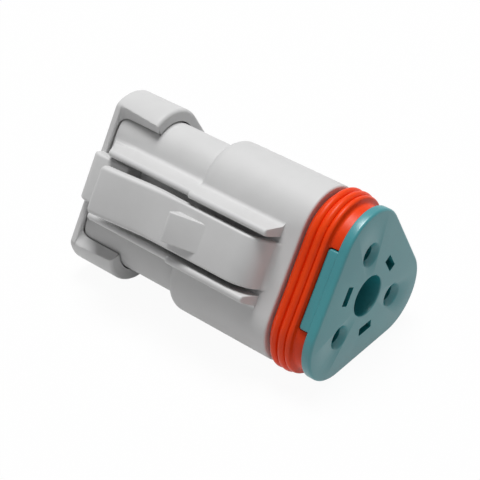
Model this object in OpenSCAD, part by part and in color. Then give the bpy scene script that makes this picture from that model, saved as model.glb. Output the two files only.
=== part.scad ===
// Three-way sealed plug: moulded body with a sprung latch, wedge lock, interface seal,
// rear cap, wire seal and three socket contacts with hoods.
//
// Every section is a rounded triangle: three circles on a corner circle, joined by their tangents.
// The plug is drawn standing, mating end up (+Z), with the latch on the +Y side. lay_down() turns
// it into its own frame: +X out of the mating face, resting on the flat side that faces -Z.

/* [Contacts] */
// Distance from the axis to each contact
contact_circle = 6.2; // [6:0.1:6.6]
// Radius of the socket that takes the mating pin
socket_r = 0.8; // [0.7:0.05:0.9]
// Depth of the socket
socket_depth = 6.4; // [5:0.2:6.6]
// Outer radius of the contact body
contact_r = 1.25; // [1.15:0.05:1.35]
// How far the locking collar stands out of the contact body
collar_step = 0.45; // [0.4:0.05:0.5]
// Length of the locking collar
collar_len = 0.8; // [0.6:0.1:1]
// Wall of the spring hood
hood_wall = 0.2; // [0.15:0.05:0.3]
// Length of the spring hood
hood_len = 6.4; // [5:0.2:6.6]
// Length of the contact body behind the collar
contact_body_len = 6; // [5:0.5:7]
// Length of the crimp barrel
barrel_len = 6.6; // [5:0.2:7]
// Bore radius of the crimp barrel
barrel_bore_r = 0.95; // [0.8:0.05:1]
// Radius of the inspection hole in the barrel
peep_r = 0.4; // [0.3:0.05:0.5]
// Distance from the barrel's front end to the inspection hole
peep_place = 1.2; // [1:0.1:2]

/* [Wedge lock] */
// Corner radius of the face plate
plate_r = 5.88; // [5.6:0.02:6]
// Thickness of the face plate
plate_t = 1.3; // [1:0.1:1.6]
// Edge radius of the face plate
plate_edge = 0.3; // [0.1:0.05:0.45]
// Radius of the pull-out hole
pull_hole_r = 2.7; // [2.2:0.1:2.9]
// Wall of the hub round the pull-out hole
hub_wall = 0.9; // [0.6:0.1:1]
// Length of the hub and legs behind the face plate
leg_len = 10.7; // [8:0.1:11]
// Thickness of each leg
leg_t = 0.75; // [0.6:0.05:0.9]
// Half width of each leg
leg_half_w = 2; // [1.4:0.1:2.4]
// Mouth radius of each pin funnel
funnel_r = 1.64; // [1.4:0.02:1.8]
// Radius of each pin hole
pin_hole_r = 1.1; // [0.95:0.05:1.2]
// Depth of each pin funnel
funnel_depth = 0.8; // [0.5:0.1:0.9]
// Distance from the axis to each moulding slot
slot_circle = 5; // [4.7:0.1:5.1]
// Length and width of each moulding slot
slot_size = [2.4, 1.05]; // [0.5:0.05:3]
// Half width of each edge tab at its foot
tab_half_w = 5.1; // [4:0.1:5.4]
// How much narrower the tab is at its back
tab_taper = 0.9; // [0:0.1:1.5]
// Depth of each edge tab behind the plate
tab_depth = 1.35; // [0.8:0.05:1.5]
// How far the tab lies inside the plate's rim
tab_inset = 0.15; // [0:0.05:0.4]

/* [Interface seal] */
// Corner radius over the ribs
rib_r = 6.48; // [6.3:0.02:6.6]
// How far the front rib lies below the others
front_rib_drop = 0.22; // [0:0.02:0.4]
// Depth of the valleys between ribs
rib_depth = 0.55; // [0.3:0.05:0.7]
// Corner radius of the seal's front sleeve
sleeve_r = 5.35; // [5:0.05:5.7]
// Rib centres, measured forward from the body's face
rib_places = [1.33, 2.43, 3.3]; // [0.5:0.01:4]
// Half width of each rib
rib_half_w = [0.5, 0.5, 0.38]; // [0.2:0.01:0.6]

/* [Plug body] */
// Distance from the plate's front to the body's front face
face_z = 6.55; // [6:0.05:7]
// Corner radius of the nose inside the seal
nose_r = 4.3; // [4.1:0.05:4.5]
// Wall of the nose
nose_wall = 0.8; // [0.6:0.05:1]
// Corner circle of the body's front section
front_q = 6.6; // [6:0.1:7.4]
// Corner radius of the body's front section
front_r = 5.85; // [5.6:0.05:6.2]
// Length of the body's front section
front_len = 16.3; // [14:0.1:17]
// Radius of the shoulder behind the front section
shoulder_e = 1.9; // [1:0.1:2.4]
// Corner circle of the body's rear section
rear_q = 7; // [6:0.1:7.6]
// Corner radius of the body's rear section
rear_r = 4.08; // [3.8:0.02:4.4]
// Edge radius at the body's front face
face_edge = 0.3; // [0.1:0.05:0.6]
// Length of the contact web in the middle
web_len = 12.6; // [10:0.1:13]
// Distance from the plate's front to the contact web
web_z = 14; // [13.8:0.1:14.6]
// Corner radius of the wire seal's pocket
pocket_r = 3.3; // [3:0.05:3.4]

/* [Latch] */
// Height of the lever's outer face from the axis
lever_h = 13; // [12.8:0.1:13.4]
// Thickness of the lever arm
lever_t = 1.5; // [1.2:0.1:1.7]
// Half width of the lever
lever_half_w = 3.05; // [2.6:0.05:3.2]
// Distance from the plate's front to the lever's root
root_z = 8.95; // [8.5:0.05:9.5]
// Outer radius of the bend above the root
bend_r = 3.2; // [2.6:0.1:3.3]
// Distance from the plate's front to the lever's rear edge
lever_end_z = 33; // [31:0.1:34]
// Where the thumb pad starts to rise, from the plate's front
pad_start_z = 24.6; // [23:0.1:26]
// Height that the thumb pad gains at its rear edge
pad_rise = 2; // [1.5:0.1:2.4]
// Radius of the thumb pad's rear edge
pad_edge = 0.6; // [0.3:0.05:0.7]
// Distance from the plate's front to the catch's tip
catch_z = 17; // [15:0.1:18]
// Length of the catch
catch_len = 4.15; // [3:0.05:5]
// Height of the catch
catch_h = 2.35; // [1.5:0.05:2.6]
// Half width of the catch
catch_half_w = 1.8; // [1.2:0.1:2.4]
// Height of the front guard rails from the axis
rail_h = 12.9; // [12:0.1:13.4]
// Height of the rear guard rails from the axis
rear_rail_h = 12; // [11:0.1:12.6]
// Gap between the lever and each guard rail
rail_gap = 0.75; // [0.4:0.05:0.9]
// Thickness of a guard rail at its top
rail_t = 0.9; // [0.6:0.05:1.2]
// How much thicker a guard rail is at its foot
rail_draft = 0.4; // [0.1:0.05:0.6]
// Distance from the plate's front to the rails' front ends
rail_front_z = 8.95; // [8:0.05:10]
// Distance from the plate's front to the step in the rails
rail_step_z = 20.9; // [19:0.1:23]
// Length of the ramp at the rails' rear ends
rail_ramp = 3; // [1:0.1:4]

/* [Rear cap and wire seal] */
// Overall length from the plate's front to the cap's back
overall_len = 38.9; // [38.5:0.1:40]
// Thickness of the cap's back wall
cap_t = 1.7; // [1.2:0.1:2]
// Corner circle of the cap
cap_q = 7.4; // [6.8:0.1:8]
// Corner radius of the cap
cap_r = 5.5; // [5.3:0.05:5.8]
// Edge radius at the cap's back
cap_edge = 0.9; // [0.3:0.1:1.3]
// Distance from the plate's front to the skirt's front edge
skirt_z = 28.4; // [27:0.1:29]
// Length over which the skirt's front is rounded down
skirt_round = 3.6; // [2:0.1:5]
// Half width of the skirt's opening on the latch side
window_half_w = 8; // [7.5:0.1:8.4]
// Corner radius of that opening
window_corner = 1.3; // [0.5:0.1:2]
// Distance from the plate's front to the cut-back corners beside the latch
lug_z = 31.3; // [30:0.1:33]
// Width over which a corner steps forward again
lug_blend = 2.6; // [1:0.1:3]
// Radius of the cap's wire holes
wire_hole_r = 1.9; // [1.6:0.05:2.1]
// Height of the thumb-pad stop from the axis
stop_h = 10.6; // [10:0.1:10.6]
// Half width of the thumb-pad stop
stop_half_w = 2.95; // [2:0.05:3.1]
// Edge radius at the stop's back
stop_edge = 0.9; // [0.2:0.1:1.2]
// How far the stop reaches under the thumb pad
stop_reach = 1; // [0.5:0.1:1.2]
// Rib height inside and outside the wire seal
wire_rib = 0.3; // [0.2:0.05:0.4]
// Radius of the wire seal's holes between ribs
wire_bore_r = 1.15; // [1:0.05:1.3]

/* [Fits] */
// Clearance round a fitted piece that doesn't move
seat_gap = 0.05; // [0.02:0.01:0.08]
// Running clearance of the lever's root
root_gap = 0.05; // [0.02:0.01:0.08]
// Clearance of the wedge lock's sliding parts
slide_gap = 0.2; // [0.1:0.02:0.25]
// Running clearance between a contact and its hood
hood_gap = 0.02; // [0.01:0.01:0.04]
// Clearance of a contact's collar in the body
collar_gap = 0.05; // [0.03:0.01:0.08]

/* [Hidden] */
$fn = 48;
corners = [30, 150, 270];     // directions of the triangle's corners
sides = [90, 210, 330];       // directions of its flat sides, the latch side first
arc_steps = 12;               // facets in each rounded corner
edge_steps = 4;               // facets in each rounded edge
eps = 0.01;

grey = "#cfcfcf";
teal = "#4f9a9c";
orange = "#e8481c";
tin = "#b9b4a6";
steel = "#c9ccd0";

nose_front_z = plate_t + tab_depth + 0.25;
cavity_r = nose_r - nose_wall;
cavity_h = contact_circle / 2 + cavity_r;
front_h = front_q / 2 + front_r;
rear_h = rear_q / 2 + rear_r;
hub_r = pull_hole_r + hub_wall;
leg_back_z = plate_t + leg_len;
leg_h = cavity_h - slide_gap;
hood_bore_r = contact_r + hood_gap;
hood_r = hood_bore_r + hood_wall;
collar_r = contact_r + collar_step;
hood_front_z = nose_front_z + 0.2;
collar_z = hood_front_z + hood_len + collar_gap;
lug_rest_z = collar_z - collar_gap;
collar_back_z = collar_z + collar_len;
barrel_z = collar_back_z + contact_body_len;
contact_end_z = barrel_z + barrel_len;
finger_x = hub_r + slide_gap + 0.05 - contact_circle;
finger_half_w = 1.1;
web_back_z = web_z + web_len;
cap_front_z = overall_len - cap_t;
body_end_z = cap_front_z - seat_gap;
root_pin_r = lever_t / 2;
root_pin_z = root_z + root_pin_r;
root_pin_h = lever_h - bend_r;
bend_z = root_z + bend_r;
rail_in = lever_half_w + rail_gap;
seal_front_z = plate_t + 0.12;
lug_step = lug_z - skirt_z;
skirt_drop = cap_q - rear_q + cap_r - rear_r + 0.3;

// ---------- shared forms ----------

// Turns the standing plug into its own frame, lying on a flat side
module lay_down() rotate([60, 0, 0]) rotate([90, 0, 90]) children();

// Points of a rounded triangle: corner circle q, corner radius r
function tri_points(q, r) = [for (a = corners) for (i = [0:arc_steps])
  let (b = a - 60 + 120 * i / arc_steps) [q * cos(a) + r * cos(b), q * sin(a) + r * sin(b)]];

// Solid through stations [distance behind the plate's front, corner radius], back to front
module tri_loft(q, stations) {
  n = 3 * (arc_steps + 1);
  m = len(stations);
  polyhedron(
    points = [for (s = stations) for (p = tri_points(q, s[1])) [p[0], p[1], -s[0]]],
    faces = concat(
      [[for (j = [0:n - 1]) j]],
      [[for (j = [n - 1:-1:0]) (m - 1) * n + j]],
      [for (i = [0:m - 2]) for (j = [0:n - 1])
        [i * n + j, (i + 1) * n + j, (i + 1) * n + (j + 1) % n, i * n + (j + 1) % n]]),
    convexity = 4);
}

// Straight prism of the rounded triangle from the back station to the front one
module tri_prism(q, r, back, front) translate([0, 0, -back])
  linear_extrude(back - front) polygon(tri_points(q, r));

// Stations of an edge rounded by e, at the back end and at the front end of a form
function back_edge(z, r, e) = [for (k = [0:edge_steps]) let (a = 90 - 90 * k / edge_steps)
  [z - e + e * sin(a), r - e + e * cos(a)]];
function front_edge(z, r, e) = [for (k = [0:edge_steps]) let (a = 90 * k / edge_steps)
  [z + e - e * sin(a), r - e + e * cos(a)]];

// Puts a copy at each contact, or on each flat side with +Y outwards
module at_contacts() for (a = corners) rotate(a) translate([contact_circle, 0, 0]) children();
module at_sides() for (a = sides) rotate(a - 90) children();

// Extrudes a drawing of (distance behind the front, height) across the latch, half width w
module across(w) translate([-w, 0, 0]) rotate([0, 90, 0]) linear_extrude(2 * w) children();

// ---------- housing ----------

// Cross section of one guard rail, with its top edges broken
module rail_section(h, t) polygon([
  [rail_in, rear_h - 2], [rail_in, h - 0.2], [rail_in + 0.15, h],
  [rail_in + t - 0.2, h], [rail_in + t, h - 0.25],
  [rail_in + t + rail_draft, front_h], [rail_in + t + rail_draft, rear_h - 2]]);

module guard_rail() {
  translate([0, 0, -rail_step_z]) linear_extrude(rail_step_z - rail_front_z)
    rail_section(rail_h, rail_t);
  difference() {
    translate([0, 0, -body_end_z]) linear_extrude(body_end_z - rail_step_z + 1)
      rail_section(rear_rail_h, rail_t);
    // ramp at the rear end
    across(3 * rail_in) polygon([[body_end_z, rear_h], [body_end_z - rail_ramp, rear_rail_h],
      [body_end_z - rail_ramp, 2 * rail_h], [body_end_z + 9, 2 * rail_h], [body_end_z + 9, rear_h]]);
  }
}

// Springy finger that holds the contact's collar from behind, backed by the wedge lock's hub
module locking_finger() {
  translate([finger_x, -finger_half_w, -web_z - 1])
    cube([-collar_r - collar_gap - finger_x, 2 * finger_half_w, web_z + 1 - collar_z]);
  translate([finger_x, -finger_half_w, -collar_back_z - collar_gap - 0.85])
    cube([-contact_r - collar_gap - finger_x, 2 * finger_half_w, 0.85]);
}

// Lug in the nose that stops the contact's collar from going forward
module stop_lug() difference() {
  translate([-0.2, -2.3, -lug_rest_z]) cube([cavity_r + 0.5, 4.6, 0.9]);
  translate([0, 0, -lug_rest_z - 1]) cylinder(r = hood_r + collar_gap, h = 3);
}

module housing() color(grey) lay_down() {
  difference() {
    union() {
      tri_loft(front_q, concat(back_edge(face_z + front_len, front_r, shoulder_e),
        front_edge(face_z, front_r, face_edge)));
      tri_prism(rear_q, rear_r, body_end_z, face_z + shoulder_e);
      tri_loft(contact_circle, [[face_z + 1, nose_r], [nose_front_z + 0.4, nose_r],
        [nose_front_z, nose_r - 0.3]]);
      for (s = [0, 1]) mirror([s, 0, 0]) guard_rail();
    }
    tri_prism(contact_circle, cavity_r, web_z, -1);
    tri_prism(contact_circle, pocket_r, body_end_z + 1, web_back_z);
    at_contacts() translate([0, 0, -web_back_z - 1])
      cylinder(r = collar_r + collar_gap, h = web_len + 2);
    // socket of the lever's root
    translate([-lever_half_w - root_gap, root_pin_h, -root_pin_z]) rotate([0, 90, 0])
      cylinder(r = root_pin_r + root_gap, h = 2 * (lever_half_w + root_gap));
  }
  at_contacts() {
    locking_finger();
    stop_lug();
  }
}

// ---------- latch lever ----------

// Height of the lever's outer face at distance z behind the front: flat, then a smooth rise
function lever_top(z) = let (u = (z - pad_start_z) / (lever_end_z - pad_start_z))
  lever_h + pad_rise * (u < 0 ? 0 : u * u * (3 - 2 * u) * 0.6 + u * 0.4);

module lever_side() {
  steps = 8;
  pad_zs = [for (k = [0:steps]) pad_start_z + (lever_end_z - pad_edge - pad_start_z) * k / steps];
  polygon(concat(
    [for (a = [0:15:90]) [bend_z - bend_r * cos(a), root_pin_h + bend_r * sin(a)]],
    [for (z = pad_zs) [z, lever_top(z)]],
    [for (a = [75:-15:0]) [lever_end_z - pad_edge + pad_edge * cos(a),
      lever_top(lever_end_z - pad_edge) - pad_edge + pad_edge * sin(a)]],
    [[lever_end_z, lever_top(lever_end_z) - lever_t - 0.1]],
    [for (k = [steps:-1:0]) [pad_zs[k], lever_top(pad_zs[k]) - lever_t]],
    [for (a = [90:-15:0]) [bend_z - (bend_r - lever_t) * cos(a),
      root_pin_h + (bend_r - lever_t) * sin(a)]]));
}

module latch_lever() color(grey) lay_down() {
  across(lever_half_w) lever_side();
  across(catch_half_w) polygon([[catch_z, lever_h - 0.2], [catch_z, lever_h],
    [catch_z + catch_len - 0.5, lever_h + catch_h - 0.1], [catch_z + catch_len - 0.15,
    lever_h + catch_h], [catch_z + catch_len, lever_h + catch_h - 0.2],
    [catch_z + catch_len, lever_h - 0.2]]);
  translate([-lever_half_w, root_pin_h, -root_pin_z]) rotate([0, 90, 0])
    cylinder(r = root_pin_r, h = 2 * lever_half_w);
}

// ---------- wedge lock ----------

module wedge_tab() translate([0, leg_h - leg_t, -plate_t - tab_depth])
  rotate([-90, 0, 0]) mirror([0, 1, 0]) linear_extrude(
    contact_circle / 2 + plate_r - tab_inset - leg_h + leg_t)
  polygon([[-tab_half_w + tab_taper, 0], [tab_half_w - tab_taper, 0],
    [tab_half_w, tab_depth + eps], [-tab_half_w, tab_depth + eps]]);

module wedge_lock() color(teal) lay_down() difference() {
  union() {
    tri_loft(contact_circle, concat(back_edge(plate_t, plate_r, 0.15),
      front_edge(0, plate_r, plate_edge)));
    translate([0, 0, -leg_back_z]) cylinder(r = hub_r, h = leg_len + eps);
    at_sides() {
      wedge_tab();
      translate([-leg_half_w, leg_h - leg_t, -leg_back_z])
        cube([2 * leg_half_w, leg_t, leg_len + eps]);
    }
  }
  translate([0, 0, -leg_back_z - 1]) cylinder(r = pull_hole_r, h = leg_back_z + 2);
  at_contacts() {
    translate([0, 0, -plate_t - 1]) cylinder(r = pin_hole_r, h = plate_t + 2);
    translate([0, 0, -funnel_depth]) cylinder(r1 = pin_hole_r, r2 = funnel_r, h = funnel_depth);
    translate([0, 0, -eps]) cylinder(r = funnel_r, h = 1);
  }
  at_sides() translate([-slot_size[0] / 2, slot_circle - slot_size[1] / 2, -plate_t - 1])
    cube([slot_size[0], slot_size[1], plate_t + 2]);
}

// ---------- seals ----------

// Stations over one rounded rib, centre c forward of the body's face
function rib(c, w, base, h) = [for (k = [0:4]) let (a = -90 + 36 * k + 18)
  [face_z - c - w * sin(a), base + h * cos(a)]];

module interface_seal() color(orange) lay_down() {
  base = rib_r - rib_depth;
  drops = [0, 0, front_rib_drop];
  difference() {
    tri_loft(contact_circle, concat(
      [[face_z - 0.35, base - 0.35], [face_z - 0.6, base - 0.1]],
      [for (i = [0:2]) each rib(rib_places[i], rib_half_w[i], base, rib_depth - drops[i])],
      [[face_z - rib_places[2] - rib_half_w[2] - 0.1, sleeve_r + 0.15],
       [face_z - rib_places[2] - rib_half_w[2] - 0.35, sleeve_r], [seal_front_z, sleeve_r - 0.1]]));
    tri_prism(contact_circle, nose_r + seat_gap, face_z + 1, -1);
    // room for the wedge lock's edge tabs
    at_sides() translate([-tab_half_w - 0.15, cavity_h, -plate_t - tab_depth - 0.12])
      cube([2 * tab_half_w + 0.3, 9, 3]);
  }
}

module wire_seal() color(orange) lay_down() {
  z1 = cap_front_z - seat_gap;
  long = z1 - web_back_z - seat_gap;
  outer = pocket_r - seat_gap;
  pitch = long / 3;
  difference() {
    tri_loft(contact_circle, [for (k = [0:12]) let (z = z1 - long * k / 12)
      [z, outer - wire_rib * (0.5 + 0.5 * cos(360 * (z1 - z) / pitch))]]);
    at_contacts() {
      translate([0, 0, -z1 - 1]) cylinder(r = wire_bore_r - wire_rib, h = long + 2);
      for (k = [0:2]) translate([0, 0, -z1 + pitch * (k + 0.5) - pitch * 0.3])
        cylinder(r = wire_bore_r, h = pitch * 0.6);
    }
  }
}

// ---------- contacts ----------

// Socket contact i: round body with a collar, crimp barrel with an inspection hole at the back
module contact(i) color(tin) lay_down() rotate(corners[i - 1]) translate([contact_circle, 0, 0])
  difference() {
    union() {
      translate([0, 0, -contact_end_z])
        cylinder(r = contact_r, h = contact_end_z - hood_front_z - 0.1);
      translate([0, 0, -collar_back_z]) cylinder(r = collar_r, h = collar_len);
    }
    translate([0, 0, -hood_front_z - 0.1 - socket_depth])
      cylinder(r = socket_r, h = socket_depth + 1);
    translate([0, 0, -contact_end_z - 1]) cylinder(r = barrel_bore_r, h = barrel_len + 1);
    translate([0, 0, -barrel_z - peep_place]) rotate([0, 90, 0]) cylinder(r = peep_r, h = 3);
  }

// Hood round the socket of contact i
module contact_hood(i) color(steel) lay_down() rotate(corners[i - 1])
  translate([contact_circle, 0, -hood_front_z - hood_len]) difference() {
    cylinder(r = hood_r, h = hood_len);
    translate([0, 0, -1]) cylinder(r = hood_bore_r, h = hood_len + 2);
  }

// ---------- rear cap ----------

// Opening of the skirt on the latch side, seen from outside: round corners at the back wall
module window_outline() hull() {
  for (s = [-1, 1]) translate([s * (window_half_w - window_corner), -cap_front_z + window_corner])
    circle(window_corner, $fn = 32);
  translate([-window_half_w, 0]) square([2 * window_half_w, 1]);
}

// Part of a latch-side corner where the skirt is cut back, seen along the corner's direction
module cut_back_outline() polygon(concat(
  [[9, 0], [9, -lug_z], [0, -lug_z]],
  [for (k = [1:6]) let (a = 30 * k) [-lug_blend * (1 - cos(a)) / 2, -lug_z + lug_step * k / 6]],
  [[-lug_blend, 0]]));

module rear_cap() color(grey) lay_down() {
  difference() {
    tri_loft(cap_q, concat(back_edge(overall_len, cap_r, cap_edge),
      [for (k = [0:6]) let (a = 15 * k)
        [skirt_z + skirt_round * (1 - sin(a)), cap_r - skirt_drop * (1 - cos(a))]]));
    tri_prism(rear_q, rear_r + seat_gap, cap_front_z, 0);
    translate([0, rear_h - 3, 0]) rotate([-90, 0, 0]) mirror([0, 1, 0])
      linear_extrude(12) window_outline();
    for (s = [0, 1]) mirror([s, 0, 0]) rotate(corners[0]) translate([2, 0, 0])
      rotate([90, 0, 90]) linear_extrude(20) cut_back_outline();
    at_contacts() translate([0, 0, -overall_len - 1]) cylinder(r = wire_hole_r, h = cap_t + 2);
  }
  pad_stop();
}

// Block on the latch side that the thumb pad comes down on
module pad_stop() across(stop_half_w) polygon(concat(
  [[lever_end_z - stop_reach, rear_h + seat_gap], [overall_len - 0.3, rear_h + seat_gap]],
  [for (a = [0:15:90]) [overall_len - 0.3 - stop_edge + stop_edge * cos(a),
    stop_h - stop_edge + stop_edge * sin(a)]],
  [[lever_end_z - stop_reach + 0.3, stop_h], [lever_end_z - stop_reach, stop_h - 0.3]]));

housing();
latch_lever();
wedge_lock();
interface_seal();
rear_cap();
wire_seal();
contact(1);  // contact_1
contact(2);  // contact_2
contact(3);  // contact_3
contact_hood(1);  // contact_hood_1
contact_hood(2);  // contact_hood_2
contact_hood(3);  // contact_hood_3
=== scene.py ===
"""Looks of a three-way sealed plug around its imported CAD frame."""
import math

import bmesh
import bpy
import numpy as np
from mathutils import Matrix, Vector


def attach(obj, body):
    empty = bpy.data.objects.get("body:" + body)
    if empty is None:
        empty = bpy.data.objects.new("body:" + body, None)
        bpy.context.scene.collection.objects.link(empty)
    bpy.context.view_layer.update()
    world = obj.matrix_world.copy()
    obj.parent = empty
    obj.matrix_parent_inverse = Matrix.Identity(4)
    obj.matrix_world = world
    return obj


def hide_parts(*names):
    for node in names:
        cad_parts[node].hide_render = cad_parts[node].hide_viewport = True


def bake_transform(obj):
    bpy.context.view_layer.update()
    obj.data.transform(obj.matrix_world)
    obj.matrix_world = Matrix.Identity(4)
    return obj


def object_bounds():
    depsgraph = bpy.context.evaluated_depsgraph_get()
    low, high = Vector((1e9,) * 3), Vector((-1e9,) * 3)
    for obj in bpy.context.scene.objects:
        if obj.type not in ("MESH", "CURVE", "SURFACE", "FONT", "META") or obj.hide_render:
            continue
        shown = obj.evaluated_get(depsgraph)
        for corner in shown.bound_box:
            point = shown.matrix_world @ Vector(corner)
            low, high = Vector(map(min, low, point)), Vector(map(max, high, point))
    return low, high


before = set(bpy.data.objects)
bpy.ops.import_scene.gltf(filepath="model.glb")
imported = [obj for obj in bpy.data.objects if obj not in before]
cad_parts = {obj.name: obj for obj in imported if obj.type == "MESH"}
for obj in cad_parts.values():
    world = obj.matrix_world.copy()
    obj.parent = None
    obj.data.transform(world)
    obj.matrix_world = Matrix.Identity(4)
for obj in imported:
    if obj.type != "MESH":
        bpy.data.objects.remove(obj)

cad_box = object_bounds()

# Sizes are in millimetres on the standing plug: x runs across the latch lever, y out through the
# latch side, and z is the distance behind the wedge plate's front face.
MM = 0.001
COS30 = math.cos(math.pi / 6)


def laid(x, y, z):
    """Points of the standing plug in the row frame, in metres: +X out of the mating face, then a
    turn of 60 degrees about X, so that the plug lies on a flat side."""
    x, y, z = np.broadcast_arrays(*(np.asarray(v, float) for v in (x, y, z)))
    return np.stack([-z, 0.5 * x - COS30 * y, COS30 * x + 0.5 * y], -1) * MM


# ---------- meshes ----------


def sheet_faces(rows, cols, wrap, first):
    """Quads between neighbouring rows of a grid of points; wrap joins the last column to the first."""
    i, j = np.meshgrid(np.arange(rows - 1), np.arange(cols if wrap else cols - 1), indexing="ij")
    k = (j + 1) % cols
    quads = np.stack([i * cols + j, i * cols + k, (i + 1) * cols + k, (i + 1) * cols + j], -1)
    return quads.reshape(-1, 4) + first


def piece(name, sheets, wrap=True, weld=1e-7):
    """One mesh object from grids of points in the row frame. Coinciding points are merged, which
    closes seams and poles, and the faces are turned outwards."""
    points, faces, first = [], [], 0
    for grid in sheets:
        rows, cols = grid.shape[:2]
        points.append(grid.reshape(-1, 3))
        faces.append(sheet_faces(rows, cols, wrap, first))
        first += rows * cols
    mesh = bpy.data.meshes.new(name)
    mesh.from_pydata(np.concatenate(points).tolist(), [], np.concatenate(faces).tolist())
    shape = bmesh.new()
    shape.from_mesh(mesh)
    bmesh.ops.remove_doubles(shape, verts=shape.verts, dist=weld)
    bmesh.ops.dissolve_degenerate(shape, dist=weld, edges=shape.edges)
    bmesh.ops.recalc_face_normals(shape, faces=shape.faces)
    shape.to_mesh(mesh)
    shape.free()
    thing = bpy.data.objects.new(name, mesh)
    bpy.context.scene.collection.objects.link(thing)
    return thing


def carve(thing, others, how):
    """Joins or cuts thing with the other pieces, which are used up."""
    for other in others:
        step = thing.modifiers.new("carve", "BOOLEAN")
        step.operation, step.object, step.solver = how, other, "MANIFOLD"
        graph = bpy.context.evaluated_depsgraph_get()
        made = bpy.data.meshes.new_from_object(thing.evaluated_get(graph))
        thing.modifiers.clear()
        thing.data = made
        bpy.data.objects.remove(other)
    return thing


def smooth(thing, angle=32):
    """Smooth shading, broken where two faces meet at more than that many degrees."""
    mesh = thing.data
    mesh.shade_smooth()
    mesh.set_sharp_from_angle(angle=math.radians(angle))
    return thing


def finished(thing, finish, slot, body, *nodes):
    """Gives a piece its material and the body it rides on, and hides the nodes it stands for; slot is not
    used.
    """
    thing.data.materials.clear()
    thing.data.materials.append(finish)
    if body:
        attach(thing, body)
    if nodes:
        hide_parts(*nodes)
    return thing


# ---------- the rounded triangle ----------


def loop(arc=28, flat=8):
    """Samples round a rounded triangle, from the middle of the latch side over its -x end. Two
    arrays come back: where each sample lies on the triangle with corners at distance 1, and its
    outward normal. A section with corner circle q and corner radius r is q * first + r * second."""
    places, normals = [], []
    corners = [150, 270, 30]
    for n, corner in enumerate(corners):
        here = np.array([math.cos(math.radians(corner)), math.sin(math.radians(corner))])
        last = math.radians(corners[n - 1])
        there = np.array([math.cos(last), math.sin(last)])
        side = math.radians(corner - 60)
        f = np.linspace(0, 1, flat, endpoint=False)[:, None]
        places.append(there + (here - there) * f)
        normals.append(np.tile([math.cos(side), math.sin(side)], (flat, 1)))
        b = np.radians(corner + np.linspace(-60, 60, arc, endpoint=False))
        places.append(np.tile(here, (arc, 1)))
        normals.append(np.stack([np.cos(b), np.sin(b)], -1))
    places, normals = np.concatenate(places), np.concatenate(normals)
    start = flat // 2
    return np.roll(places, -start, 0), np.roll(normals, -start, 0)


PLACES, NORMALS = loop()


def closed(rows, back, front):
    """Grid from rows of points, with a pole on the axis at the back and at the front distance."""
    axis = np.zeros(len(rows[0]))
    return np.stack([laid(axis, axis, back), *rows, laid(axis, axis, front)])


def loft(stations):
    """Closed grid through stations (z, q, r): one rounded triangle each, with a pole at each end."""
    rows = []
    for z, q, r in stations:
        p = q * PLACES + r * NORMALS
        rows.append(laid(p[:, 0], p[:, 1], z))
    return closed(rows, stations[0][0], stations[-1][0])


def edge_back(z, q, r, e, steps=6):
    """Stations of a rounded back edge: a quarter circle of radius e, from the end face inwards."""
    return [(z - e + e * math.sin(a), q, r - e + e * math.cos(a))
            for a in np.radians(np.linspace(90, 0, steps))]


def edge_front(z, q, r, e, steps=6):
    """Stations of a rounded front edge, ending on the front face."""
    return [(z + e - e * math.sin(a), q, r - e + e * math.cos(a))
            for a in np.radians(np.linspace(0, 90, steps))]


def tube(x, y, profile, count=64):
    """Closed surface turned about the line through (x, y): profile holds (z, radius) pairs."""
    a = np.linspace(0, 2 * math.pi, count, endpoint=False)
    rows = [laid(x + 0 * a, y + 0 * a, profile[0][0])]
    rows += [laid(x + r * np.cos(a), y + r * np.sin(a), z) for z, r in profile]
    rows.append(laid(x + 0 * a, y + 0 * a, profile[-1][0]))
    return np.stack(rows)


def turned(points, degrees):
    """Points of the row frame turned about the plug's axis, from the latch side to another side."""
    a = math.radians(degrees)
    y, z = points[..., 1], points[..., 2]
    return np.stack([points[..., 0], y * math.cos(a) - z * math.sin(a),
                     y * math.sin(a) + z * math.cos(a)], -1)


def rounded_outline(corners, radii, steps=6):
    """Closed outline through corners, each rounded by its radius: arcs tangent to both sides."""
    corners = np.asarray(corners, float)
    out = []
    for n, (p, r) in enumerate(zip(corners, radii)):
        before, after = corners[n - 1], corners[(n + 1) % len(corners)]
        u, v = before - p, after - p
        u, v = u / np.linalg.norm(u), v / np.linalg.norm(v)
        half = math.acos(np.clip(u @ v, -1, 1)) / 2
        if r <= 0:
            out.append(p[None])
            continue
        reach = r / math.tan(half)
        middle = p + (u + v) / np.linalg.norm(u + v) * r / math.sin(half)
        a, b = p + u * reach - middle, p + v * reach - middle
        whole = math.acos(np.clip(a @ b / r / r, -1, 1))
        t = np.linspace(0, 1, steps)[:, None]
        out.append(middle + (np.sin((1 - t) * whole) * a + np.sin(t * whole) * b) / math.sin(whole))
    return np.concatenate(out)


def inset(outline, d):
    """The outline moved inwards by d, along the mean of the normals beside each point."""
    before, after = np.roll(outline, 1, 0), np.roll(outline, -1, 0)
    u, v = outline - before, after - outline
    u /= np.maximum(np.linalg.norm(u, axis=1, keepdims=True), 1e-9)
    v /= np.maximum(np.linalg.norm(v, axis=1, keepdims=True), 1e-9)
    n = np.stack([-(u + v)[:, 1], (u + v)[:, 0]], -1)
    n /= np.linalg.norm(n, axis=1, keepdims=True)
    area = np.sum(outline[:, 0] * after[:, 1] - outline[:, 1] * after[:, 0])
    return outline + np.sign(area) * n * d / np.clip(np.sum(n * np.stack([-v[:, 1], v[:, 0]], -1),
                                                            1, keepdims=True), 0.5, 1)


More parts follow.
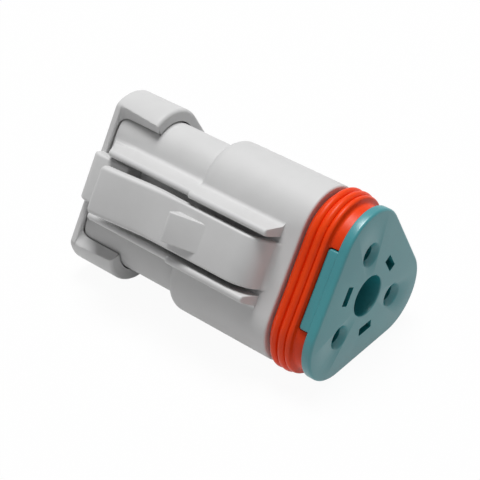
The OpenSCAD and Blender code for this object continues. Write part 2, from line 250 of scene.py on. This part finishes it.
def bar(outline, low, high, edge, place, steps=5):
    """Closed surface of an outline carried from low to high along the third direction, its end
    edges rounded by edge. place(a, b, c) puts the outline's two coordinates and the third."""
    rows = []
    a = np.radians(np.linspace(90, 0, steps))
    ends = [(low + edge - edge * math.sin(v), edge - edge * math.cos(v)) for v in a]
    ends += [(high + low - c, d) for c, d in reversed(ends)]
    for c, d in ends:
        p = inset(outline, d) if d > 1e-9 else outline
        rows.append(place(p[:, 0], p[:, 1], c + 0 * p[:, 0]))
    middle = outline.mean(0)
    for row, c in ((0, ends[0][0]), (len(rows) + 1, ends[-1][0])):
        rows.insert(row, place(middle[0] + 0 * outline[:, 0], middle[1] + 0 * outline[:, 0],
                               c + 0 * outline[:, 0]))
    return np.stack(rows)


def across(z, h, x):
    """An outline of (z, height) carried across the latch."""
    return laid(x, h, z)


def outward(x, z, h):
    """An outline of (x, z) carried outwards from the axis on the latch side."""
    return laid(x, h, z)


# ---------- sizes ----------
CONTACT_CIRCLE = 6.2
CONTACTS = [(CONTACT_CIRCLE * math.cos(math.radians(a)), CONTACT_CIRCLE * math.sin(math.radians(a)))
            for a in (30, 150, 270)]
PLATE_R, PLATE_T, PLATE_EDGE = 5.88, 1.3, 0.35
TAB_BACK = 2.65
HUB_R, PULL_R, LEG_BACK = 3.6, 2.7, 12.0
FUNNEL_R, PIN_HOLE_R, FUNNEL_DEPTH = 1.64, 1.1, 0.8
SLOT_CIRCLE, SLOT = 5.0, (2.5, 1.15)
LEG_H, LEG_T, LEG_HALF = 6.4, 0.75, 2.0
FACE_Z, NOSE_R, NOSE_FRONT = 6.55, 4.3, 2.9
FRONT_Q, FRONT_R, FRONT_LEN, SHOULDER, FACE_EDGE = 6.6, 5.85, 16.0, 1.6, 0.3
REAR_Q, REAR_R, BODY_END = 7.0, 4.08, 37.9
FRONT_H, REAR_H = FRONT_Q / 2 + FRONT_R, REAR_Q / 2 + REAR_R
CAVITY_R, WEB_Z, WEB_BACK, POCKET_R = 3.5, 14.0, 26.6, 3.3
COLLAR_Z, COLLAR_BACK, BORE = 9.55, 10.35, 1.75
RAIL_IN, RAIL_T, RAIL_DRAFT = 3.8, 0.9, 0.4
RAIL_H, REAR_RAIL_H, RAIL_FRONT, RAIL_STEP, RAIL_END, RAIL_RAMP = 12.9, 12.0, 8.95, 20.9, 37.5, 2.9
LEVER_H, LEVER_T, LEVER_HALF, ROOT_Z, BEND_R = 13.0, 1.5, 3.05, 8.95, 3.2
LEVER_END, PAD_START, PAD_RISE, PAD_EDGE = 33.0, 24.6, 2.0, 0.6
ROOT_FILLET, ARM_EDGE, PAD_SIDE_EDGE = 0.65, 0.28, 0.3
WIDEN_Z, WIDEN_LEN, WIDEN = 20.5, 6.5, 0.1
CATCH_Z, CATCH_LEN, CATCH_H, CATCH_HALF = 17.0, 4.15, 2.35, 1.9
CAP_Q, CAP_R, CAP_EDGE, CAP_END, CAP_WALL, CAP_FLAT = 7.4, 5.5, 0.3, 38.9, 37.95, 8.2
SKIRT_Z, SKIRT_EDGE, WINDOW_ANGLE, WINDOW_CORNER, WIRE_HOLE_R = 31.4, 0.5, 30.0, 1.3, 1.9
GRIP_BACK, GRIP_FRONT = 36.5, 35.5
STOP_H, STOP_HALF, STOP_EDGE, STOP_FRONT = 10.4, 3.2, 1.8, 32.0
RIB_R, RIB_DEPTH, SLEEVE_R = 6.48, 0.55, 5.35
RIBS = [(1.33, 0.5, 0.0), (2.43, 0.5, 0.0), (3.3, 0.38, 0.22)]


# ---------- finishes ----------


class Value:
    """A shader socket that Python's operators work on: each adds one Math node."""

    def __init__(self, finish, socket):
        self.finish, self.socket = finish, socket

    def math(self, operation, first, second=0.0):
        return self.finish.node("ShaderNodeMath", {"operation": operation}, {0: first, 1: second})

    def __add__(self, other):
        return self.math("ADD", self, other)

    def __mul__(self, other):
        return self.math("MULTIPLY", self, other)

    __radd__, __rmul__ = __add__, __mul__

    def between(self, low, high):
        """0 at low, 1 at high, with a smooth ramp between them."""
        return self.finish.node("ShaderNodeMapRange", {"interpolation_type": "SMOOTHSTEP"},
                                {"Value": self, "From Min": low, "From Max": high})


class Finish:
    """A material and the one method that adds its nodes."""

    def __init__(self, name, **constants):
        self.material = bpy.data.materials.new(name)
        self.material.use_nodes = True
        self.tree = self.material.node_tree
        self.tree.nodes.clear()
        self.shader = self.tree.nodes.new("ShaderNodeBsdfPrincipled")
        output = self.tree.nodes.new("ShaderNodeOutputMaterial")
        self.tree.links.new(self.shader.outputs[0], output.inputs[0])
        for socket, value in constants.items():
            self.shader.inputs[socket.replace("_", " ")].default_value = value

    def node(self, kind, settings=None, sockets=None, out=0):
        node = self.tree.nodes.new(kind)
        for key, value in (settings or {}).items():
            if key == "stops":
                ramp = node.color_ramp.elements
                while len(ramp) < len(value):
                    ramp.new(0.5)
                for stop, (place, colour) in zip(ramp, value):
                    stop.position, stop.color = place, (*colour, 1.0)
            else:
                setattr(node, key, value)
        for key, value in (sockets or {}).items():
            if isinstance(value, Value):
                self.tree.links.new(value.socket, node.inputs[key])
            else:
                node.inputs[key].default_value = value
        return Value(self, node.outputs[out])

    def feed(self, **sockets):
        for socket, value in sockets.items():
            self.tree.links.new(value.socket, self.shader.inputs[socket.replace("_", " ")])
        return self.material

    def place(self):
        return self.node("ShaderNodeTexCoord", out=3)

    def noise(self, scale, detail=3.0, roughness=0.5):
        """Fractal noise on Object coordinates, 0 to 1; scale is in waves to a metre."""
        return self.node("ShaderNodeTexNoise", {"noise_dimensions": "3D"},
                         {"Vector": self.place(), "Scale": scale, "Detail": detail,
                          "Roughness": roughness})

    def blend(self, share, first, second):
        """Colour mix, from first to second as share goes from 0 to 1."""
        return self.node("ShaderNodeMix", {"data_type": "RGBA"}, {0: share, 6: first, 7: second}, 2)

    def bump(self, height, strength, distance):
        return self.node("ShaderNodeBump", None,
                         {"Height": height, "Strength": strength, "Distance": distance})


def srgb(r, g, b):
    """Linear colour from 0-255 display values."""
    return tuple(v / 12.92 if v <= 0.04045 else ((v + 0.055) / 1.055) ** 2.4
                 for v in (r / 255, g / 255, b / 255))


def moulded(name, colour, shade, rough=0.5, grain=0.35, specular=0.4):
    """Moulded engineering plastic: a fine spark-eroded grain, faint flow marks and slow changes of
    tone and gloss."""
    f = Finish(name, Specular_IOR_Level=specular)
    cloud = f.noise(90, 2.0)
    flow = f.noise(420, 4.0, 0.6)
    tone = f.blend((cloud * 0.7 + flow * 0.3).between(0.3, 0.7), (*shade, 1), (*colour, 1))
    fine = f.noise(9000, 2.0, 0.7)
    gloss = fine * 0.12 + cloud * 0.08 + (rough - 0.1)
    height = fine * 0.6 + f.noise(3500, 3.0) * 0.4
    return f.feed(Base_Color=tone, Roughness=gloss, Normal=f.bump(height, grain, 0.00002))


def silicone(name, colour, deep):
    """Cured silicone rubber: satin, with a faint powdery bloom and a slight mould texture."""
    f = Finish(name, Specular_IOR_Level=0.22)
    cloud = f.noise(160, 3.0)
    bloom = f.noise(2600, 3.0, 0.6)
    tone = f.blend((cloud * 0.6 + bloom * 0.4).between(0.3, 0.7), (*deep, 1), (*colour, 1))
    gloss = bloom * 0.16 + 0.3
    return f.feed(Base_Color=tone, Roughness=gloss, Normal=f.bump(bloom, 0.25, 0.00002))


def plated(name, colour, rough, stretch):
    """Plated or drawn sheet metal: fine drawing lines along the axis and slightly dull patches."""
    f = Finish(name, Metallic=1.0)
    lines = f.node("ShaderNodeMapping", {"vector_type": "POINT"},
                   {"Vector": f.place(), "Scale": (stretch, 1, 1)})
    drawn = f.node("ShaderNodeTexNoise", None, {"Vector": lines, "Scale": 6000, "Detail": 3.0})
    dull = f.noise(500, 3.0)
    tone = f.blend(dull.between(0.35, 0.75), (*colour, 1), (*(0.72 * c for c in colour), 1))
    return f.feed(Base_Color=tone, Roughness=drawn * 0.18 + dull * 0.1 + rough,
                  Normal=f.bump(drawn, 0.2, 0.00002))


GREY = moulded("moulded_grey", srgb(206, 206, 206), srgb(200, 200, 200))
TEAL = moulded("moulded_teal", srgb(40, 138, 144), srgb(32, 130, 138), rough=0.36, specular=0.9)
ORANGE = silicone("orange_silicone", srgb(238, 68, 8), srgb(228, 58, 6))
TIN = plated("tin_plate", srgb(196, 190, 176), 0.25, 0.08)
STEEL = plated("drawn_steel", srgb(205, 208, 212), 0.22, 0.08)

# ---------- wedge lock ----------


def wedge_lock():
    """Plate, hub, edge tabs and legs, joined, less the pull-out hole, pin funnels and slots."""
    body = piece("wedge_lock_moulding", [loft(
        edge_back(PLATE_T, CONTACT_CIRCLE, PLATE_R, 0.15) +
        edge_front(0, CONTACT_CIRCLE, PLATE_R, PLATE_EDGE))])
    adds = [piece("hub", [tube(0, 0, [(LEG_BACK, HUB_R - 0.15), (LEG_BACK - 0.15, HUB_R),
                                      (0.5, HUB_R)])])]
    tab = rounded_outline([(-5.1, 0.6), (-5.1, TAB_BACK), (5.1, TAB_BACK), (5.1, 0.6)],
                          (0, 0.35, 0.35, 0))
    leg = rounded_outline([(-LEG_HALF, 0.6), (-LEG_HALF, LEG_BACK), (LEG_HALF, LEG_BACK),
                           (LEG_HALF, 0.6)], (0, 0.5, 0.5, 0))
    tab_out = CONTACT_CIRCLE / 2 + PLATE_R - 0.15
    for turn in (0, 120, 240):
        adds.append(piece("tab", [turned(bar(tab, LEG_H - LEG_T, tab_out, 0.2, outward), turn)]))
        adds.append(piece("leg", [turned(bar(leg, LEG_H - LEG_T, LEG_H, 0.12, outward), turn)]))
    carve(body, adds, "UNION")
    cuts = [piece("pull_hole", [tube(0, 0, [(LEG_BACK + 1, PULL_R), (0.2, PULL_R),
                                            (0.06, PULL_R + 0.05), (0, PULL_R + 0.14),
                                            (-0.5, PULL_R + 0.14)])])]
    for x, y in CONTACTS:
        r = FUNNEL_R
        cuts.append(piece("pin_hole", [tube(x, y, [
            (PLATE_T + 1, PIN_HOLE_R), (FUNNEL_DEPTH, PIN_HOLE_R), (0.12, r - 0.1), (0.04, r - 0.02),
            (0, r + 0.06), (-0.5, r + 0.06)])]))
    slot = rounded_outline([(-SLOT[0] / 2, SLOT_CIRCLE - SLOT[1] / 2),
                            (SLOT[0] / 2, SLOT_CIRCLE - SLOT[1] / 2),
                            (SLOT[0] / 2, SLOT_CIRCLE + SLOT[1] / 2),
                            (-SLOT[0] / 2, SLOT_CIRCLE + SLOT[1] / 2)], (0.12,) * 4, 3)
    for turn in (0, 120, 240):
        cuts.append(piece("slot", [turned(bar(slot, -1, PLATE_T + 1, 0.01, laid, 2), turn)]))
    carve(body, cuts, "DIFFERENCE")
    return finished(smooth(body), TEAL, "wedge", "wedge", "wedge_lock")


# ---------- interface seal ----------


def interface_seal():
    """Profile of three half-round ribs and a plain sleeve, carried round the rounded triangle."""
    base = RIB_R - RIB_DEPTH
    q = CONTACT_CIRCLE
    outer = [(FACE_Z - 0.35, base - 0.35), (FACE_Z - 0.6, base - 0.1)]
    for centre, half, drop in RIBS:
        a = np.radians(np.linspace(-80, 80, 15))
        outer += list(zip(FACE_Z - centre - half * np.sin(a), base + (RIB_DEPTH - drop) * np.cos(a)))
    end = FACE_Z - RIBS[2][0] - RIBS[2][1]
    outer += [(end - 0.06, SLEEVE_R + 0.22), (end - 0.16, SLEEVE_R + 0.09), (end - 0.35, SLEEVE_R),
              (PLATE_T + 0.35, SLEEVE_R - 0.08), (PLATE_T + 0.2, SLEEVE_R - 0.14),
              (PLATE_T + 0.12, SLEEVE_R - 0.28)]
    inner = [(PLATE_T + 0.12, NOSE_R + 0.05), (FACE_Z - 0.35, NOSE_R + 0.05)]
    ring = [(z, q, r) for z, r in outer + inner + outer[:1]]
    seal = piece("interface_seal_rubber", [loft(ring)[1:-1]])
    notch = rounded_outline([(-5.25, 0.5), (-5.25, TAB_BACK + 0.12), (5.25, TAB_BACK + 0.12),
                             (5.25, 0.5)], (0, 0.3, 0.3, 0))
    carve(seal, [piece("notch", [turned(bar(notch, CONTACT_CIRCLE / 2 + CAVITY_R, 12, 0.01, outward), t)])
                 for t in (0, 120, 240)], "DIFFERENCE")
    return finished(smooth(seal), ORANGE, "face_seal", "plug", "interface_seal")


# ---------- plug body ----------


def latch_side():
    """Samples of the latch side from its middle to its +x end: x, the most that each rises above
    the side, and how far it stays below the guard rail's top."""
    rows = [(0.0, 0, 0), (1.5, 0, 0), (3.2, 0, 0), (RAIL_IN - 0.05, 0, 0), (RAIL_IN, 0.05, 0)]
    top = 0.4
    for a in np.radians(np.linspace(0, 90, 6)):
        rows.append((RAIL_IN + top * (1 - math.cos(a)), 99, top * (1 - math.sin(a))))
    top, outer = 0.45, RAIL_IN + RAIL_T
    for a in np.radians(np.linspace(90, 5, 7)):
        rows.append((outer - top * (1 - math.cos(a)), 99, top * (1 - math.sin(a))))
    foot, bend = outer + RAIL_DRAFT, 0.6
    for a in np.radians(np.linspace(5, 90, 7)):
        rows.append((foot + bend * (1 - math.cos(a)) - 0.05, bend * (1 - math.sin(a)), 0))
    return np.array(rows)


RAIL = latch_side()


def rail_tops():
    """Height of the guard rails' top along the plug, as (z, height) stops: rounded front end, step
    down, rear ramp."""
    return np.array([
        (RAIL_FRONT - 0.001, 0), (RAIL_FRONT, RAIL_H - 0.3), (RAIL_FRONT + 0.04, RAIL_H - 0.15),
        (RAIL_FRONT + 0.12, RAIL_H - 0.05), (RAIL_FRONT + 0.3, RAIL_H), (RAIL_STEP - 0.3, RAIL_H),
        (RAIL_STEP - 0.12, RAIL_H - 0.05), (RAIL_STEP - 0.03, RAIL_H - 0.16),
        (RAIL_STEP, RAIL_H - 0.32), (RAIL_STEP + 0.001, REAR_RAIL_H + 0.12),
        (RAIL_STEP + 0.1, REAR_RAIL_H), (RAIL_END - RAIL_RAMP - 0.25, REAR_RAIL_H),
        (RAIL_END - RAIL_RAMP + 0.25, REAR_RAIL_H - 0.3), (RAIL_END, REAR_H)])


def body_section(z):
    """Corner circle and corner radius of the plug body at z: a quarter-round front edge, the front
    section, and a quarter-round shoulder down to the rear section."""
    back = FACE_Z + FRONT_LEN
    if z < FACE_Z + FACE_EDGE:
        return FRONT_Q, FRONT_R - FACE_EDGE + math.sqrt(FACE_EDGE ** 2 - (FACE_Z + FACE_EDGE - z) ** 2)
    if z > back:
        return REAR_Q, REAR_R - 0.15 * (z > BODY_END - 0.01)
    d = max(0.0, 1 - (back - z) / SHOULDER)
    return FRONT_Q, FRONT_R - SHOULDER * (1 - math.sqrt(1 - d * d))


def plug_body():
    """Outer skin as one section carried along the plug. The section is a rounded triangle whose
    latch side rises into two guard rails; corner circle, corner radius and rail height change
    along the way. The cavity, contact bores and seal pocket are cut from it, and the fingers that
    hold the contacts are put back."""
    tops = rail_tops()
    back = FACE_Z + FRONT_LEN
    stations = {FACE_Z, BODY_END - 0.15, BODY_END, *tops[:, 0]}
    stations |= {FACE_Z + FACE_EDGE * (1 - math.sin(a)) for a in np.radians(np.linspace(75, 0, 6))}
    stations |= {back - SHOULDER * (1 - math.sin(a)) for a in np.radians(np.linspace(0, 90, 16))}
    stations |= {back + 0.001}
    half = 4
    place, normal = PLACES[half:1 - half], NORMALS[half:1 - half]
    rows = []
    for z in sorted(round(float(v), 5) for v in stations):
        q, r = body_section(z)
        side = q / 2 + r
        top = float(np.interp(z, tops[:, 0], tops[:, 1], left=0, right=0))
        rail = np.maximum(side, np.minimum(side + RAIL[:, 1], top - RAIL[:, 2]))
        p = q * place + r * normal
        rows.append(laid(np.concatenate([-RAIL[:, 0], p[:, 0], RAIL[::-1, 0]]),
                         np.concatenate([rail, p[:, 1], rail[::-1]]), z))
    body = piece("plug_body_moulding", [closed(rows, FACE_Z, BODY_END)])
    nose = piece("nose", [loft([(FACE_Z + 1.5, CONTACT_CIRCLE, NOSE_R)] +
                               edge_front(NOSE_FRONT, CONTACT_CIRCLE, NOSE_R, 0.3))])
    carve(body, [nose], "UNION")
    cuts = [piece("cavity", [loft([(WEB_Z, CONTACT_CIRCLE, CAVITY_R), (-1, CONTACT_CIRCLE, CAVITY_R)])]),
            piece("pocket", [loft([(BODY_END + 1, CONTACT_CIRCLE, POCKET_R),
                                   (WEB_BACK, CONTACT_CIRCLE, POCKET_R)])])]
    cuts += [piece("contact_bore", [tube(x, y, [(WEB_BACK + 1, BORE), (WEB_Z - 1, BORE)])])
             for x, y in CONTACTS]
    carve(body, cuts, "DIFFERENCE")
    holds = []
    for turn in (-60, 60, 180):
        for near, far, back, front in ((3.85, 4.45, WEB_Z + 1, COLLAR_Z),
                                       (3.85, 4.9, COLLAR_BACK + 0.9, COLLAR_BACK + 0.05)):
            edge = [(-1.1, back), (1.1, back), (1.1, front), (-1.1, front)]
            holds.append(piece("finger", [turned(bar(rounded_outline(edge, (0, 0, 0.15, 0.15)),
                                                     near, far, 0.05, outward), turn)]))
    carve(body, holds, "UNION")
    return finished(smooth(body), GREY, "body", "plug", "housing")


# ---------- latch lever ----------


def pad_height(z):
    """Height of the lever's outer face: flat, then a smooth rise over the thumb pad."""
    u = np.clip((np.asarray(z, float) - PAD_START) / (LEVER_END - PAD_START), 0, 1)
    return LEVER_H + PAD_RISE * (u * u * (3 - 2 * u) * 0.6 + u * 0.4)


def swept_strip(curve, normal, depth, half, edge, under=0.2, steps=6):
    """Closed surface of a rounded rectangle carried along a curve of (z, height) points. At each
    point it reaches half to either side and depth inwards along the normal; edge rounds its outer
    corners and under its inner ones."""
    across_x, outward_v = [], []
    for n, (side, level) in enumerate(((1, 1), (-1, 1), (-1, -1), (1, -1))):
        a = np.radians(np.linspace(90 * n, 90 * n + 90, steps))
        r = np.minimum(edge if level > 0 else under, depth / 2.01)[:, None]
        across_x.append(side * (half[:, None] - r) + r * np.cos(a))
        outward_v.append((0 if level > 0 else -depth[:, None]) - level * r + r * np.sin(a))
    x, v = np.concatenate(across_x, 1), np.concatenate(outward_v, 1)
    grid = laid(x, curve[:, 1:] + normal[:, 1:] * v, curve[:, :1] + normal[:, :1] * v)
    ends = [np.broadcast_to(row.mean(0), row.shape) for row in (grid[0], grid[-1])]
    return np.concatenate([ends[0][None], grid, ends[1][None]])


def latch_lever():
    """A rounded rectangle carried up the root, round the bend and along the arm to the raised pad,
    where it grows wider and its long edges rounder, with the catch on top."""
    bend_z, root_h, fillet = ROOT_Z + BEND_R, LEVER_H - BEND_R, ROOT_FILLET
    c = np.radians(np.linspace(90, 0, 7))
    foot = np.stack([ROOT_Z - fillet + fillet * np.cos(c), FRONT_H + fillet - fillet * np.sin(c)], -1)
    foot = np.concatenate([[(ROOT_Z - fillet, FRONT_H - 0.5)], foot])
    a = np.radians(np.linspace(0, 90, 16))
    bend = np.stack([bend_z - BEND_R * np.cos(a), root_h + BEND_R * np.sin(a)], -1)
    zs = np.concatenate([np.linspace(bend_z, PAD_START, 12)[1:-1],
                         np.linspace(PAD_START, LEVER_END - PAD_EDGE, 20)])
    b = np.radians(np.linspace(0, 90, 8))
    tip = len(b) - 1
    zs = np.concatenate([zs, LEVER_END - PAD_EDGE + PAD_EDGE * np.sin(b[1:])])
    drop = np.concatenate([np.zeros(len(zs) - tip), PAD_EDGE * (1 - np.cos(b[1:]))])
    slope = np.gradient(pad_height(zs), zs)
    rise = np.stack([-slope, np.ones(len(zs))], -1) / np.sqrt(1 + slope[:, None] ** 2)
    rise[-tip:] = rise[-tip - 1]
    top = np.stack([zs, pad_height(zs)], -1) - rise * drop[:, None]
    curve = np.concatenate([foot, bend, top])
    normal = np.concatenate([np.tile((-1.0, 0.0), (len(foot), 1)),
                             np.stack([-np.cos(a), np.sin(a)], -1), rise])
    inner = np.concatenate([np.zeros(len(foot) + len(bend)), drop])
    depth = LEVER_T - inner - np.minimum(inner, 0.2)
    depth[:len(foot)] += ROOT_Z - foot[:, 0]
    share = np.clip((curve[:, 0] - WIDEN_Z) / WIDEN_LEN, 0, 1)
    share = share * share * (3 - 2 * share)
    half = LEVER_HALF + WIDEN * share - inner
    lever = piece("latch_lever_moulding",
                  [swept_strip(curve, normal, depth, half, ARM_EDGE + PAD_SIDE_EDGE * share)])
    wedge = rounded_outline([(CATCH_Z - 0.3, LEVER_H - 0.5), (CATCH_Z - 0.3, LEVER_H - 0.15),
                             (CATCH_Z + CATCH_LEN, LEVER_H + CATCH_H),
                             (CATCH_Z + CATCH_LEN, LEVER_H - 0.5)], (0, 0, 0.35, 0))
    catch = piece("catch", [bar(wedge, -CATCH_HALF, CATCH_HALF, 0.18, across)])
    carve(lever, [catch], "UNION")
    finished(smooth(lever), GREY, "latch", None, "latch_lever")
    start, end = laid(0, 9.8, ROOT_Z + 0.1), laid(0, 9.8, ROOT_Z + 4.2)
    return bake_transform(lever)


# ---------- rear cap ----------


def soft_min(a, b, k):
    """The smaller of a and b, rounded over where they differ by less than k."""
    t = np.clip(0.5 + 0.5 * (b - a) / k, 0, 1)
    return b + (a - b) * t - k * t * (1 - t)


def window_floor(x, z, n):
    """Height that the latch-side opening leaves of the skirt at x. It is deep in the middle, rises
    from the body to the cap's outline, and turns towards the latch-side face near the back wall;
    n brings its foot nearer to the middle."""
    flat = math.asin((CAP_FLAT - CAP_Q / 2) / CAP_R)
    wall = math.radians(30 + WINDOW_ANGLE)
    b = flat + (wall - flat) * (CAP_WALL - z) / (CAP_WALL - SKIRT_Z)
    foot = (REAR_Q * COS30 + REAR_R * math.cos(wall) - n * math.sin(wall),
            REAR_Q / 2 + REAR_R * math.sin(wall) + n * math.cos(wall))
    rim = CAP_Q * COS30 + CAP_R * math.cos(b), CAP_Q / 2 + CAP_R * math.sin(b)
    slope = (rim[1] - foot[1]) / (rim[0] - foot[0])
    rise = foot[1] + slope * (np.abs(x) - foot[0]) + 2 * np.maximum(np.abs(x) - rim[0], 0)
    return np.where(np.abs(x) < foot[0], REAR_H - 0.6, rise)


def rear_cap():
    """Outer skin as a rounded triangle carried along the plug, lowered on the latch side: to the
    opening's floor over the skirt and to a flat face at the back wall. The body's place, the wire
    holes and a groove round the body are cut from it, and the thumb pad's stop is joined on."""
    place, normal = loop(96, 40)
    rows = []

    def row(z, edge, floor):
        p = CAP_Q * place + (CAP_R - edge) * normal
        upper = p[:, 1] > CAP_Q / 2
        p[upper, 1] = soft_min(p[upper, 1], floor(p[upper, 0]), 0.25)
        rows.append(laid(p[:, 0], p[:, 1], z))

    for a in np.radians(np.linspace(90, 0, 7)):
        edge = CAP_EDGE * (1 - math.cos(a))
        row(CAP_END - CAP_EDGE * (1 - math.sin(a)), edge, lambda x: CAP_FLAT - edge + 0 * x)
    for a in np.radians(np.linspace(0, 90, 5)):
        drop = 0.2 * (1 - math.cos(a))
        row(CAP_WALL + 0.2 * (1 - math.sin(a)), 0.0, lambda x: CAP_FLAT - drop + 0 * x)
    for a in np.radians(np.linspace(0, 90, 9)):
        z = CAP_WALL - 0.001 - WINDOW_CORNER * (1 - math.cos(a))
        row(z, 0.0, lambda x: window_floor(x, z, WINDOW_CORNER * (1 - math.sin(a))))
    for z in np.linspace(CAP_WALL - WINDOW_CORNER, SKIRT_Z + SKIRT_EDGE, 10)[1:-1]:
        row(z, 0.0, lambda x: window_floor(x, z, 0))
    for a in np.radians(np.linspace(0, 90, 7)):
        z = SKIRT_Z + SKIRT_EDGE * (1 - math.sin(a))
        row(z, SKIRT_EDGE * (1 - math.cos(a)), lambda x: window_floor(x, z, 0))
    cap = piece("rear_cap_moulding", [closed(rows, CAP_END, SKIRT_Z)])
    cuts = [piece("body_place", [loft([(CAP_WALL, REAR_Q, REAR_R + 0.05),
                                       (GRIP_BACK, REAR_Q, REAR_R + 0.05),
                                       (GRIP_FRONT, REAR_Q, REAR_R + 0.2),
                                       (SKIRT_Z - 1, REAR_Q, REAR_R + 0.2)])]),
            piece("groove", [loft([(CAP_WALL + 0.12, REAR_Q, REAR_R + 0.2),
                                   (SKIRT_Z - 0.8, REAR_Q, REAR_R + 0.18)])])]
    cuts += [piece("wire_hole", [tube(x, y, [(CAP_END + 1, WIRE_HOLE_R), (CAP_WALL - 1, WIRE_HOLE_R)])])
             for x, y in CONTACTS]
    carve(cap, cuts, "DIFFERENCE")
    back = CAP_END - 0.2
    side = rounded_outline([(STOP_FRONT, REAR_H + 0.05), (back, REAR_H + 0.05), (back, STOP_H),
                            (STOP_FRONT, STOP_H)], (0.1, 0.1, STOP_EDGE, 0.3), 9)
    carve(cap, [piece("pad_stop", [bar(side, -STOP_HALF, STOP_HALF, 0.35, across)])], "UNION")
    return finished(smooth(cap), GREY, "cap", "plug", "rear_cap")


plug_body()
latch_lever()
rear_cap()
wedge_lock()
interface_seal()

for node, finish in [("wire_seal", ORANGE)] + \
        [("contact_%d" % n, TIN) for n in (1, 2, 3)] + [("contact_hood_%d" % n, STEEL) for n in (1, 2, 3)]:
    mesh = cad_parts[node].data
    mesh.materials.clear()
    mesh.materials.append(finish)

# ---------- floor, light and camera ----------
FLOOR_WHITE, AMBIENT = 0.95, 0.235


def flat_sheet(name, corners):
    """A single quad."""
    mesh = bpy.data.meshes.new(name)
    mesh.from_pydata([tuple(c) for c in corners], [], [(0, 1, 2, 3)])
    thing = bpy.data.objects.new(name, mesh)
    bpy.context.scene.collection.objects.link(thing)
    return thing


floor_z = cad_box[0][2] - 0.00005
floor = flat_sheet("floor", [(-2, -2, floor_z), (2, -2, floor_z), (2, 2, floor_z), (-2, 2, floor_z)])


def seen(tree):
    """1 where the camera looks or a mirror, gloss or glass shows, 0 for light on surfaces."""
    path = tree.nodes.new("ShaderNodeLightPath")
    last = path.outputs["Is Camera Ray"]
    for name in ("Is Glossy Ray", "Is Transmission Ray"):
        either = tree.nodes.new("ShaderNodeMath")
        either.operation = "MAXIMUM"
        tree.links.new(last, either.inputs[0])
        tree.links.new(path.outputs[name], either.inputs[1])
        last = either.outputs[0]
    return last


def scaled(tree, socket, low, high):
    """Takes a socket's 0 to 1 to low to high."""
    level = tree.nodes.new("ShaderNodeMapRange")
    level.inputs["To Min"].default_value, level.inputs["To Max"].default_value = low, high
    tree.links.new(socket, level.inputs["Value"])
    return level.outputs[0]


def floor_paper():
    """Matt pale paper, mixed with plain white where it is seen, so that a faint shadow stays."""
    f = Finish("studio_floor", Roughness=0.9, Specular_IOR_Level=0.1)
    f.feed(Base_Color=f.blend(f.noise(30, 2.0), (0.8, 0.8, 0.8, 1), (0.83, 0.83, 0.83, 1)))
    output = f.tree.nodes["Material Output"]
    white = f.tree.nodes.new("ShaderNodeEmission")
    mix = f.tree.nodes.new("ShaderNodeMixShader")
    f.tree.links.new(scaled(f.tree, seen(f.tree), 0.0, FLOOR_WHITE), mix.inputs[0])
    f.tree.links.new(f.shader.outputs[0], mix.inputs[1])
    f.tree.links.new(white.outputs[0], mix.inputs[2])
    f.tree.links.new(mix.outputs[0], output.inputs[0])
    return f.material


floor.data.materials.append(floor_paper())

world = bpy.data.worlds.new("studio")
bpy.context.scene.world = world
world.use_nodes = True
air = world.node_tree
air.nodes.clear()
backdrop = air.nodes.new("ShaderNodeBackground")
air.links.new(scaled(air, seen(air), AMBIENT, 1.0), backdrop.inputs["Strength"])
air.links.new(backdrop.outputs[0], air.nodes.new("ShaderNodeOutputWorld").inputs[0])

AIM = Vector((-0.019, 0.0, 0.0))


def softbox(name, direction, distance, size, power):
    """A square area lamp of that size in metres, facing the plug."""
    lamp = bpy.data.lights.new(name, "AREA")
    lamp.shape, lamp.size, lamp.energy = "SQUARE", size, power
    thing = bpy.data.objects.new(name, lamp)
    bpy.context.scene.collection.objects.link(thing)
    way = Vector(direction).normalized()
    thing.location = AIM + way * distance
    thing.rotation_mode = "QUATERNION"
    thing.rotation_quaternion = way.to_track_quat("Z", "Y")
    return thing


softbox("overhead", (-0.1, 0.1, 0.99), 0.6, 0.25, 3.6)

camera = bpy.data.objects.new("camera", bpy.data.cameras.new("camera"))
bpy.context.scene.collection.objects.link(camera)
right, up, back = (Vector(v) for v in ((0.76956, 0.63829, 0.01897), (-0.39409, 0.45135, 0.80061),
                                       (0.50245, -0.62359, 0.59889)))
turn = Matrix((right, up, back)).transposed().to_4x4()
turn.translation = Vector((0.072402, -0.114596, 0.108676))
camera.matrix_world = turn
camera.data.lens = 107.85
camera.data.sensor_width = 36.0
camera.data.clip_start, camera.data.clip_end = 0.01, 10.0
bpy.context.scene.camera = camera
bpy.context.scene.view_settings.view_transform = "Standard"

bpy.context.view_layer.update()
